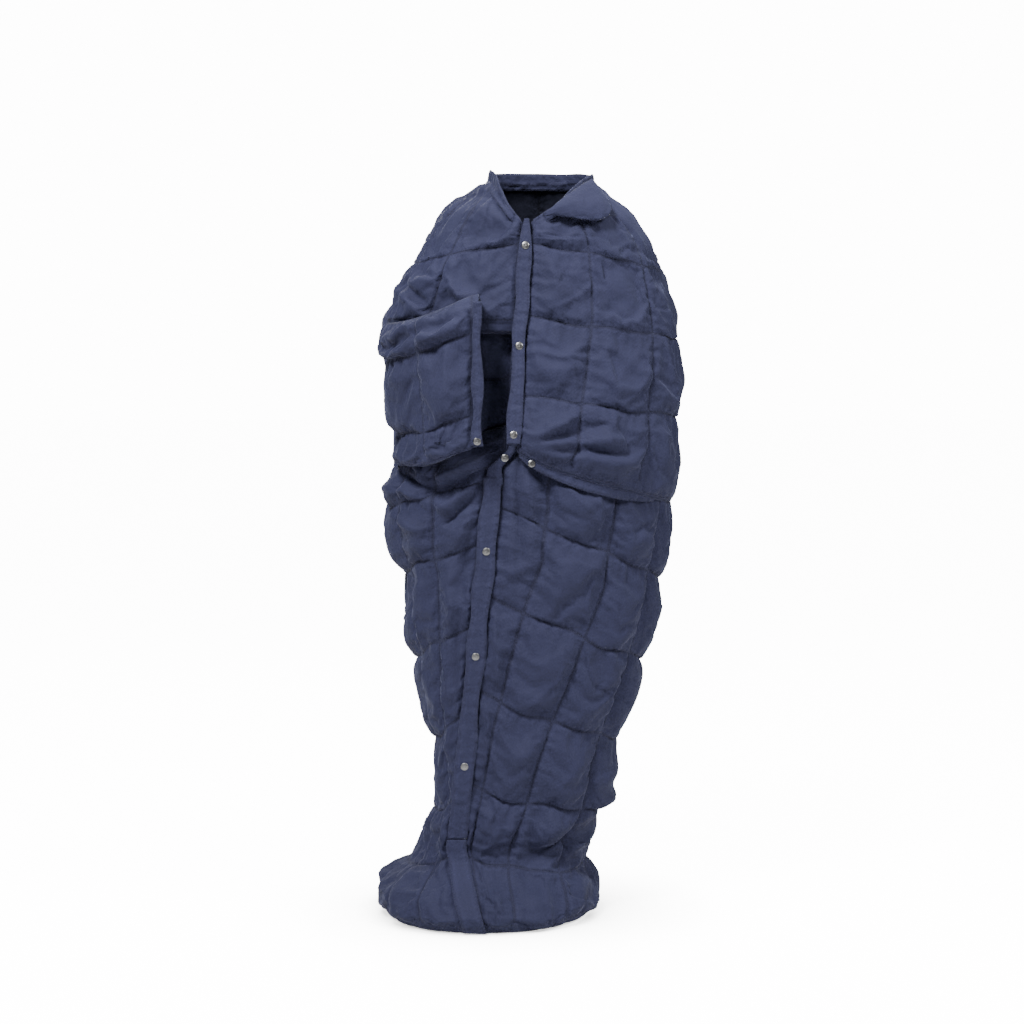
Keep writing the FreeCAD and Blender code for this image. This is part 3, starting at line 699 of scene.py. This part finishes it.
def seam_distance(tree):
    """The distance to the nearest seam, in metres."""
    node = tree.nodes.new("ShaderNodeAttribute")
    node.attribute_name = "seam"
    return node.outputs["Fac"]


def nearness(tree, distance, sharpness):
    """1 at no distance, falling to 0."""
    away = calc(tree, "MINIMUM", calc(tree, "MULTIPLY", distance, sharpness), 1.0)
    return calc(tree, "SUBTRACT", 1.0, away)


def mixed(tree, factor, first, second, blend="MIX"):
    """A mix of two colours, each a colour or a socket."""
    node = tree.nodes.new("ShaderNodeMix")
    node.data_type = "RGBA"
    node.blend_type = blend
    tree.links.new(factor, node.inputs["Factor"])
    for label, colour in (("A", first), ("B", second)):
        if isinstance(colour, tuple):
            node.inputs[label].default_value = colour
        else:
            tree.links.new(colour, node.inputs[label])
    return node.outputs["Result"]


def bump(tree, height, strength, distance, below=None):
    """A bump from a height, over another normal."""
    node = tree.nodes.new("ShaderNodeBump")
    node.inputs["Strength"].default_value = strength
    node.inputs["Distance"].default_value = distance
    tree.links.new(height, node.inputs["Height"])
    if below:
        tree.links.new(below, node.inputs["Normal"])
    return node.outputs["Normal"]


def cotton_group():
    """Woven cotton: threads, slubs and faded patches, in the cloth's own metres."""
    tree, inside, outside = node_group(
        "cotton_cloth",
        [("Colour", "NodeSocketColor", NAVY), ("Faded", "NodeSocketColor", NAVY_FADED),
         ("Thread", "NodeSocketFloat", 900.0), ("Wear", "NodeSocketFloat", 0.4)],
        [("Colour", "NodeSocketColor"), ("Roughness", "NodeSocketFloat"), ("Height", "NodeSocketFloat")],
    )
    link = tree.links.new
    across, down = cloth_place(tree)
    warp = calc(tree, "SINE", calc(tree, "MULTIPLY", across, inside.outputs["Thread"]))
    weft = calc(tree, "SINE", calc(tree, "MULTIPLY", down, inside.outputs["Thread"]))
    weave = calc(tree, "MULTIPLY", warp, weft)
    patches = cloud(tree, 9.0, 5.0)
    slubs = cloud(tree, 260.0, 3.0)
    near = nearness(tree, seam_distance(tree), 90.0)
    worn = calc(tree, "MULTIPLY", calc(tree, "MULTIPLY", near, patches), inside.outputs["Wear"])
    fade = calc(tree, "ADD", worn, calc(tree, "MULTIPLY", patches, 0.35))
    fade = calc(tree, "ADD", fade, calc(tree, "MULTIPLY", slubs, 0.25))
    fade = calc(tree, "MINIMUM", fade, 1.0)
    link(mixed(tree, fade, inside.outputs["Colour"], inside.outputs["Faded"]), outside.inputs["Colour"])
    rough = calc(tree, "ADD", calc(tree, "MULTIPLY", slubs, 0.12), 0.78)
    link(rough, outside.inputs["Roughness"])
    height = calc(tree, "ADD", calc(tree, "MULTIPLY", weave, 0.5), calc(tree, "MULTIPLY", slubs, 1.2))
    link(height, outside.inputs["Height"])
    return tree


def stitch_group():
    """A row of stitches along each seam: a grooved line with short threads in it, and painted shade that
    darkens the colour in and beside it.
    """
    tree, inside, outside = node_group(
        "seam_stitches_and_painted_shade",
        [("Colour", "NodeSocketColor", NAVY), ("Thread colour", "NodeSocketColor", NAVY_FADED),
         ("Pitch", "NodeSocketFloat", 1500.0), ("Offset", "NodeSocketFloat", 0.0),
         ("Shade", "NodeSocketFloat", 0.8)],
        [("Colour", "NodeSocketColor"), ("Height", "NodeSocketFloat")],
    )
    link = tree.links.new
    across, down = cloth_place(tree)
    away = calc(tree, "ABSOLUTE", calc(tree, "SUBTRACT", seam_distance(tree), inside.outputs["Offset"]))
    line = nearness(tree, away, 700.0)
    diagonal = calc(tree, "ADD", across, down)
    dash = calc(tree, "SINE", calc(tree, "MULTIPLY", diagonal, inside.outputs["Pitch"]))
    thread = calc(tree, "MULTIPLY", line, calc(tree, "GREATER_THAN", dash, -0.35))
    # Painted shade: the colour darkens within a few mm of each seam, in place of the shade of a crease the
    # mesh is too coarse to hold.
    depth = nearness(tree, away, 150.0)
    depth = calc(tree, "MULTIPLY", calc(tree, "MULTIPLY", depth, depth), inside.outputs["Shade"])
    painted_groove_shade = calc(tree, "MAXIMUM", calc(tree, "MULTIPLY", line, 0.6), depth)
    # The painted shade multiplies the colour by a grey-blue.
    seam_shaded = mixed(tree, painted_groove_shade, inside.outputs["Colour"], (0.25, 0.26, 0.32, 1), "MULTIPLY")
    sewn = calc(tree, "MULTIPLY", thread, 0.45)
    link(mixed(tree, sewn, seam_shaded, inside.outputs["Thread colour"]), outside.inputs["Colour"])
    link(calc(tree, "SUBTRACT", calc(tree, "MULTIPLY", thread, 0.6), line), outside.inputs["Height"])
    return tree


def fabric(name, groups, colour, faded, shade):
    """A cotton fabric with stitched seams and painted shade along them."""
    material = bpy.data.materials.new(name)
    material.use_nodes = True
    tree = material.node_tree
    shader = tree.nodes["Principled BSDF"]
    shader.inputs["Sheen Weight"].default_value = 0.08
    shader.inputs["Sheen Roughness"].default_value = 0.45
    shader.inputs["Sheen Tint"].default_value = (0.5, 0.55, 0.9, 1)
    shader.inputs["Specular IOR Level"].default_value = 0.28
    cloth = tree.nodes.new("ShaderNodeGroup")
    cloth.node_tree = groups["cotton"]
    cloth.inputs["Colour"].default_value = colour
    cloth.inputs["Faded"].default_value = faded
    stitches = tree.nodes.new("ShaderNodeGroup")
    stitches.node_tree = groups["stitches"]
    stitches.inputs["Thread colour"].default_value = (*[c * 1.15 for c in faded[:3]], 1)
    # shade sets the strength of the painted shade along the seams.
    stitches.inputs["Shade"].default_value = shade
    link = tree.links.new
    link(cloth.outputs["Colour"], stitches.inputs["Colour"])
    link(stitches.outputs["Colour"], shader.inputs["Base Color"])
    link(cloth.outputs["Roughness"], shader.inputs["Roughness"])
    near = nearness(tree, seam_distance(tree), 38.0)
    pucker = calc(tree, "MULTIPLY", near, calc(tree, "MULTIPLY", cloud(tree, 85.0, 2.0), 1.6))
    crumple = calc(tree, "ADD", cloud(tree, 26.0, 4.0, 1.2), pucker)
    soft = bump(tree, crumple, 0.55, 0.005)
    fine = bump(tree, cloth.outputs["Height"], 0.35, 0.0006, soft)
    link(bump(tree, stitches.outputs["Height"], 0.8, 0.0015, fine), shader.inputs["Normal"])
    return material


def nickel():
    """Satin nickel with fine wear."""
    material = bpy.data.materials.new("press_stud_nickel")
    material.use_nodes = True
    tree = material.node_tree
    shader = tree.nodes["Principled BSDF"]
    shader.inputs["Metallic"].default_value = 1.0
    marks = cloud(tree, 700.0, 4.0)
    tint = mixed(tree, marks, (0.13, 0.13, 0.135, 1), (0.24, 0.238, 0.235, 1))
    tree.links.new(tint, shader.inputs["Base Color"])
    rough = calc(tree, "ADD", calc(tree, "MULTIPLY", marks, 0.25), 0.22)
    tree.links.new(rough, shader.inputs["Roughness"])
    return material


# ---------------------------------------------------------------- the blanket's pieces
def make_panels(cotton, lining):
    """The seven quilted panels."""
    plan = [
        ("right_cape", right_cape, 1, RIGHT_CAPE_COLUMNS, RIGHT_CAPE_SEAMS[0], FINE),
        ("left_cape", left_cape, -1, LEFT_CAPE_COLUMNS, LEFT_CAPE_SEAMS[0], FINE),
        ("left_inner", left_inner, -1, INNER_COLUMNS, LEFT_INNER_SEAMS[0], COARSE),
        ("left_sleeve", sleeve, -1, SLEEVE_COLUMNS, SLEEVE_ROWS, FINE),
        ("right_skirt", right_skirt, 1, RIGHT_SKIRT_COLUMNS, RIGHT_SKIRT_SEAMS[0], FINE),
        ("left_skirt", left_skirt, -1, LEFT_SKIRT_COLUMNS, LEFT_SKIRT_SEAMS[0], FINE),
        ("back", back_panel, 1, BACK_COLUMNS, BACK_SEAMS, COARSE),
    ]
    for number, (name, point, facing, columns, seams, spacing) in enumerate(plan):
        rows = [float(k) for k in range(len(seams))]
        piece = panel_piece(name, point, facing, columns, rows, spacing, number * 11.3)
        piece.data.materials.append(cotton)
        piece.data.materials.append(lining)
        node = "inner_layer" if name == "left_inner" else name
        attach(piece, "blanket")
        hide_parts(node + "_shell", node + "_lining", node + "_down")
    if SIMULATED:
        run_cloth()
    sew_linings()


def make_tapes(binding):
    """The bindings of the free edges, the plackets and the collar."""

    def add(piece, body, *nodes):
        piece.data.materials.append(binding)
        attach(piece, body)
        if nodes:
            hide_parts(*nodes)

    hem = 12.0  # the floor hems reach this far down past the panels
    right_bottom, left_bottom, back_bottom = (
        len(seams) - 1 for seams in (RIGHT_SKIRT_SEAMS[0], LEFT_SKIRT_SEAMS[0], BACK_SEAMS))
    add(edge_tape("right_cape_hem_tape", right_cape, 1, CAPE_BOTTOM), "blanket", "right_cape_hem")
    add(edge_tape("sleeve_hem_tape", sleeve, -1, len(SLEEVE_ROWS) - 1), "blanket", "left_sleeve_hem")
    add(edge_tape("neck_tape_right", right_cape, 1, 0), "blanket", "neck_binding")
    add(edge_tape("neck_tape_left", left_cape, -1, 0), "blanket")
    add(edge_tape("neck_tape_back", back_panel, 1, 0, steps=120), "blanket")
    add(edge_tape("floor_hem_right", right_skirt, 1, right_bottom, hem), "blanket", "floor_hem")
    add(edge_tape("floor_hem_left", left_skirt, -1, left_bottom, hem), "blanket")
    add(edge_tape("floor_hem_back", back_panel, 1, back_bottom, hem, 160), "blanket")

    def chest(z):
        return tube(0, z, CAPE_FRONT)

    def skirt(z):
        return tube(0, z, SKIRT_FRONT)

    def inner(z):
        return tube(0, z, INNER_FRONT)

    def cuff(z):
        return Vector((SLEEVE_MOUTH + CUFF_MIDDLE, SLEEVE_FRONT + DEPTH_SHIFT, z))

    add(placket("chest_band", chest, 946, 1382, 14, 3.6, -0.5, 120, 1.0, 5, 1.6, 0.0, 14),
        "chest_placket", "chest_placket")
    add(placket("chest_under_band", chest, 1192, 1352, 13, 3.0, 7.4, 40, 2.0), "blanket",
        "chest_under_strip")
    add(placket("inner_under_band", inner, 940, 1210, 15, 3.4, -0.4, 60, 3.0), "blanket",
        "inner_under_strip")
    add(placket("skirt_band", skirt, 170, 880, 20, 3.8, -0.5, 200, 4.0, 19, 2.2),
        "skirt_placket", "skirt_placket")
    add(placket("skirt_under_band", skirt, 170, 880, 15, 3.0, 7.4, 100, 5.0), "blanket",
        "skirt_under_strip")
    add(placket("waist_band", skirt, 864, 941, 19, 3.6, -0.5, 26, 6.0, 8, 1.0, 4.2), "blanket",
        "waist_strip")
    add(placket("waist_backing", skirt, 860, 962, 30, 5.0, 12.0, 24, 9.0, 34), "blanket")
    add(placket("foot_band", skirt, 3, 168, 23, 4.5, -0.8, 44, 7.0, 20, 1.8), "blanket", "foot_placket")
    add(placket("foot_under_band", skirt, 3, 168, 17, 3.0, 7.4, 44, 8.0), "blanket", "foot_under_strip")
    add(slit_lip(), "blanket")
    add(collar(), "blanket")
    add(placket("cuff_tape", cuff, 943, 1220, 11, 4.4, -0.5, 60, 9.0, 8, 2.4), "cuff_band", "cuff_band")


def slit_u(share):
    """The place along the right cape's hem of a share of the slit's length."""
    return 0.015 + 0.72 * share


def slit_lip():
    """The band under the right cape's hem that buttons the hand opening."""

    def down(share):
        return down_edge(right_cape, slit_u(share), CAPE_BOTTOM)

    def normal(share):
        return outward(right_cape, 1, slit_u(share), CAPE_BOTTOM)

    def middle(share):
        drop = 2 + 13 * math.sin(math.pi * share) ** 0.7
        return right_cape(slit_u(share), CAPE_BOTTOM) + down(share) * drop - normal(share) * (SINK + 6)

    def half(share):
        return 9 + 3 * math.sin(math.pi * share)

    return tape("slit_lip", middle, normal, down, 90, half, 4.0, 12.0)


def neck_edge(share):
    """A place on the neck opening and the face normal there, from the right front round the back."""
    if share < 1 / 3:
        u = 0.02 + 0.98 * share * 3
        return right_cape(u, 0), outward(right_cape, 1, u, 0)
    if share < 2 / 3:
        u = share * 3 - 1
        return back_panel(u, 0), outward(back_panel, 1, u, 0)
    u = 1 - 0.98 * (share * 3 - 2)
    return left_cape(u, 0), outward(left_cape, -1, u, 0)


COLLAR_HEIGHTS = [(0.0, 8), (0.1, 16), (0.3, 20), (0.5, 24), (0.7, 26), (0.8, 28), (0.9, 30), (1.0, 10)]


def collar():
    """The collar that stands up round the neck."""

    def half(share):
        return between(COLLAR_HEIGHTS, share) / 2

    def across(share):
        normal = neck_edge(share)[1]
        return (Vector((0, 0, 1)) - normal * 0.12).normalized()

    def normal(share):
        ahead, behind = neck_edge(min(1, share + 0.004))[0], neck_edge(max(0, share - 0.004))[0]
        side = (ahead - behind).normalized().cross(across(share)).normalized()
        return side if side.dot(neck_edge(share)[1]) > 0 else -side

    def middle(share):
        place, face = neck_edge(share)
        return place - face * SINK + across(share) * (half(share) - 6)

    return tape("collar", middle, normal, across, 180, half, TAPE_THICK, 14.0, 1.5)


def slit_snap(metal):
    """The cap that closes the hand opening."""
    bpy.ops.object.select_all(action="DESELECT")
    bpy.ops.mesh.primitive_uv_sphere_add(segments=32, ring_count=16, radius=1)
    cap = bpy.context.object
    cap.name = "slit_snap_cap"
    u = slit_u(0.13)
    face = outward(right_cape, 1, u, CAPE_BOTTOM)
    down = down_edge(right_cape, u, CAPE_BOTTOM)
    place = right_cape(u, CAPE_BOTTOM) + down * 12 - face * (SINK + 3.2)
    turn = face.to_track_quat("Z", "Y")
    for vertex in cap.data.vertices:
        dome = Vector((vertex.co.x * CAP_R, vertex.co.y * CAP_R, vertex.co.z * CAP_H))
        flat = math.hypot(dome.x, dome.y)
        dome.z -= 0.6 * math.exp(-flat * flat / 3) if dome.z > 0 else 0.0
        vertex.co = (place + turn @ dome) * MM
    smooth(cap.data)
    cap.data.materials.append(metal)
    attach(cap, "blanket")


def make_lapel(binding):
    """The right collar, folded outwards over the cape as a padded leaf."""
    steps_u, steps_v = 40, 16
    u_span, v_span = LAPEL_SPANS
    top, bottom, normals = [], [], []
    for j in range(steps_v + 1):
        for i in range(steps_u + 1):
            u = u_span[0] + (u_span[1] - u_span[0]) * i / steps_u
            leaf = math.sin(math.pi * min(1.0, 0.03 + 0.82 * i / steps_u)) ** 0.8
            v = v_span[0] + (v_span[1] - v_span[0]) * leaf * j / steps_v
            place, normal = right_cape(u, v), outward(right_cape, 1, u, v)
            rim = min(i, steps_u - i, j, steps_v - j)
            swell = min(1.0, rim / 3) ** 0.5
            ripple = 1.6 * noise.noise(Vector((i * 0.22, j * 0.25, 21.0)))
            lift = 7 + 3 * (1 - j / steps_v) + ripple
            top.append((place + normal * (lift + 3 * swell)) * MM)
            bottom.append((place + normal * (lift - 2.5 * swell)) * MM)
            normals.append(normal)
    piece = grid_object("lapel_fold", steps_u + 1, steps_v + 1, top, 1)
    width, drop = LAPEL_SIZE
    uv = [(i / steps_u * width, -j / steps_v * drop)
          for j in range(steps_v + 1) for i in range(steps_u + 1)]
    seam = [min(i * 5, (steps_u - i) * 5, j * 4, (steps_v - j) * 4) * MM
            for j in range(steps_v + 1) for i in range(steps_u + 1)]
    set_float(piece, "seam", seam)
    set_uv(piece, uv)
    close_panel(piece, steps_u + 1, steps_v + 1, bottom, normals, seam, uv, 1)
    piece.data.materials.append(binding)
    piece.data.materials.append(binding)
    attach(piece, "lapel")
    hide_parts("right_lapel")


# ---------------------------------------------------------------- camera, floor and light
WORLD_LIGHT = 0.095
LIGHTS = [  # name, place, what it is turned to, size and power
    ("key", (-1.3, -2.2, 3.9), (0, 0, 1.0), 1.0, 335),
    ("second", (2.4, -1.5, 3.0), (0, 0, 0.7), 1.0, 120),
    ("fill", (-1.5, -4.0, 1.6), (0, 0, 0.9), 2.0, 14),
    ("top", (0.2, 0.8, 4.2), (0, 0, 0.6), 2.0, 60),
    ("back", (-0.8, 3.4, 2.8), (0, 0, 0.7), 2.0, 90),
]


def add_camera():
    """The camera that rest is looked at from."""
    data = bpy.data.cameras.new("camera")
    data.lens = 87.2
    data.sensor_width = 36
    camera = bpy.data.objects.new("camera", data)
    camera.location = (-0.036, -5.0 + DEPTH_SHIFT * MM, 1.15)
    camera.rotation_euler = (math.pi / 2 - 0.07, 0, 0)
    bpy.context.scene.collection.objects.link(camera)
    bpy.context.scene.camera = camera


def add_light(name, place, aim, size, energy):
    """A round soft light that is turned to a place."""
    data = bpy.data.lights.new(name, "AREA")
    data.shape = "DISK"
    data.size = size
    data.energy = energy
    light = bpy.data.objects.new(name, data)
    light.location = place
    light.rotation_euler = (Vector(aim) - Vector(place)).to_track_quat("-Z", "Y").to_euler()
    bpy.context.scene.collection.objects.link(light)


def seen_white(tree, base, brightness):
    """A base strength for the light that falls on things, and a brighter one for the camera."""
    seen = tree.nodes.new("ShaderNodeLightPath").outputs["Is Camera Ray"]
    return calc(tree, "ADD", calc(tree, "MULTIPLY", seen, brightness - base), base)


def add_studio():
    """A white floor with a painted contact shadow near the blanket, a white world, and soft lights."""
    bpy.ops.object.select_all(action="DESELECT")
    bpy.ops.mesh.primitive_plane_add(size=60, location=(0, 0, 0))
    floor = bpy.context.object
    floor.name = "floor"
    paint = bpy.data.materials.new("floor")
    paint.use_nodes = True
    shader = paint.node_tree.nodes["Principled BSDF"]
    shader.inputs["Base Color"].default_value = (0.86, 0.86, 0.86, 1)
    shader.inputs["Roughness"].default_value = 0.9
    shader.inputs["Emission Color"].default_value = (1, 1, 1, 1)
    # Painted contact shadow: ambient occlusion dims the floor's glow near the blanket.
    near = paint.node_tree.nodes.new("ShaderNodeAmbientOcclusion")
    near.samples = 8
    near.inputs["Distance"].default_value = 0.3
    shade = calc(paint.node_tree, "POWER", near.outputs["AO"], 1.6)
    glow = calc(paint.node_tree, "MULTIPLY", seen_white(paint.node_tree, 0.0, WHITE - 0.6), shade)
    paint.node_tree.links.new(glow, shader.inputs["Emission Strength"])
    floor.data.materials.append(paint)
    world = bpy.context.scene.world or bpy.data.worlds.new("studio")
    bpy.context.scene.world = world
    world.use_nodes = True
    background = world.node_tree.nodes["Background"]
    background.inputs[0].default_value = (1, 1, 1, 1)
    world.node_tree.links.new(seen_white(world.node_tree, WORLD_LIGHT, WHITE), background.inputs[1])
    for light in LIGHTS:
        add_light(*light)


def main():
    add_camera()
    groups = {"cotton": cotton_group(), "stitches": stitch_group()}
    cotton = fabric("navy_cotton", groups, NAVY, NAVY_FADED, 0.9)
    lining = fabric("navy_lining", groups, LINING, LINING_FADED, 0.8)
    binding = fabric("navy_tape", groups, NAVY, NAVY_FADED, 0.4)
    metal = nickel()
    make_lapel(binding)
    make_panels(cotton, lining)
    make_tapes(binding)
    slit_snap(metal)
    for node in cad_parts:
        if "snap" in node and node in bpy.data.objects:
            for slot in bpy.data.objects[node].material_slots:
                slot.material = metal
    add_studio()


main()
